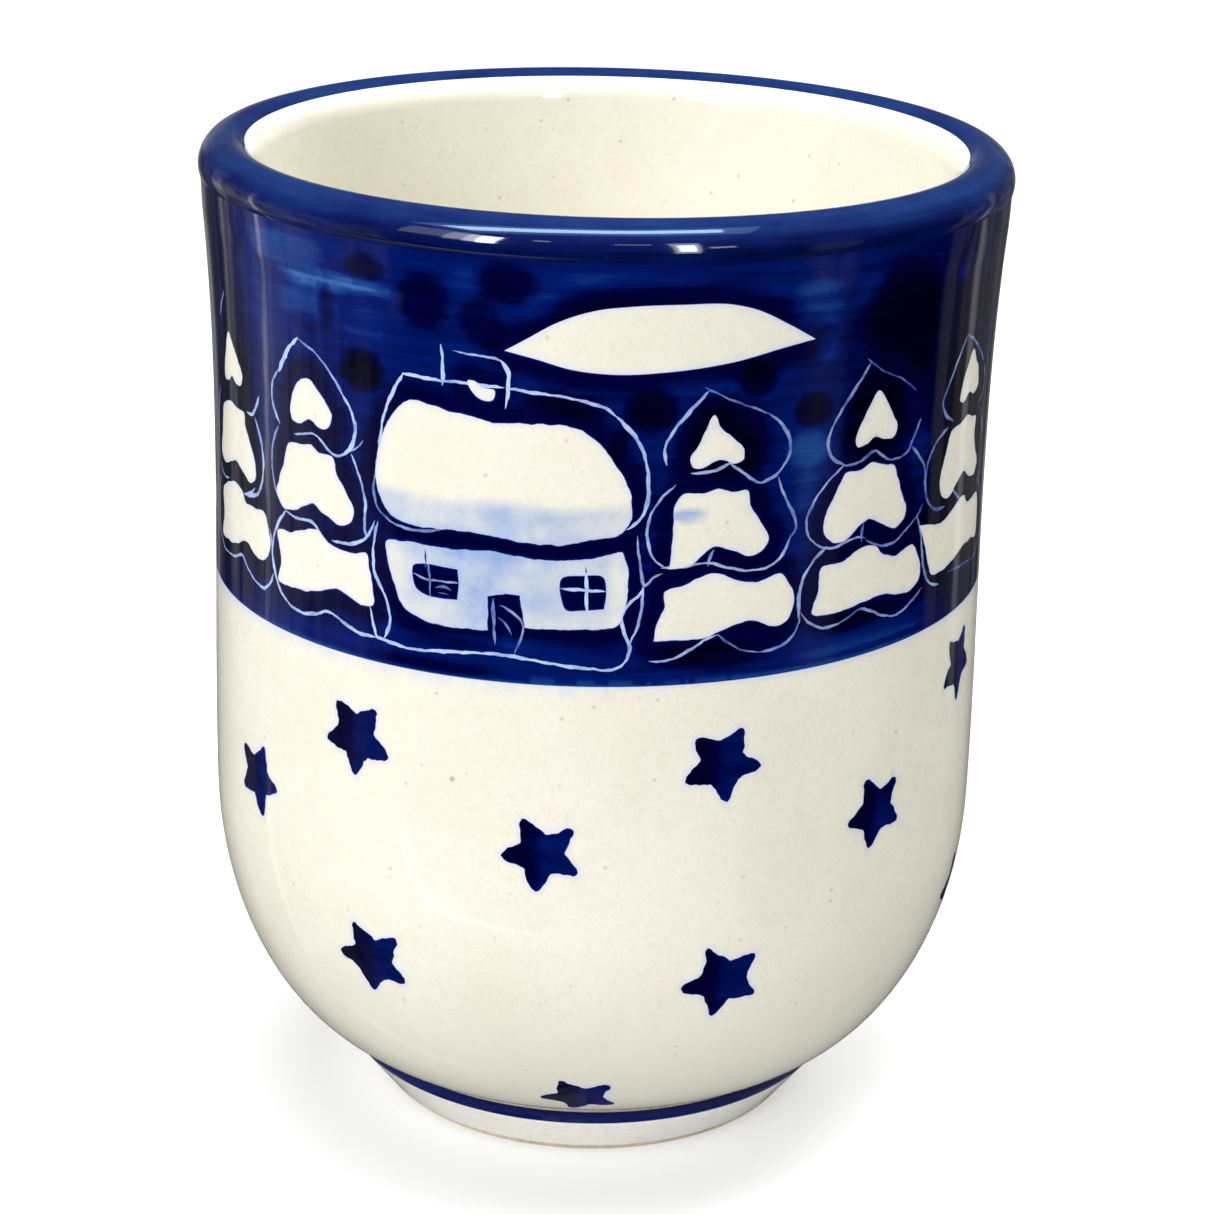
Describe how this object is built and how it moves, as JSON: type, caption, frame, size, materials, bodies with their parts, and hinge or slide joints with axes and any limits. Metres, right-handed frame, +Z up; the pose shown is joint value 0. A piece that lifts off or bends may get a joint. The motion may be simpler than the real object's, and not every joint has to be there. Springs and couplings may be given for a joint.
{
  "type": "handleless cup",
  "caption": "Handleless glazed stoneware cup on a low foot, with a rolled cobalt lip, a painted snow village band and stamped stars.",
  "frame": {"origin": "middle of the ring the cup stands on", "axes": "+Z up along the cup's axis, the painted house turned towards -Y"},
  "size_m": [0.089, 0.089, 0.112],
  "materials": {
    "clay": "matte",
    "clear_glaze": "gloss",
    "cobalt": "gloss",
    "blue_wash": "gloss"
  },
  "bodies": {
    "root": {"clay_body": "clay", "inner_glaze": "clear_glaze", "lip_coat": "cobalt", "frieze_coat": "cobalt", "cloud_reserve": "clear_glaze", "tree_reserve": "clear_glaze", "roof_reserve": "clear_glaze", "front_reserve": "blue_wash", "lower_glaze": "clear_glaze", "star_stamps": "cobalt", "foot_line": "cobalt", "foot_glaze": "clear_glaze", "hollow_glaze": "clear_glaze"}
  },
  "joints": []
}
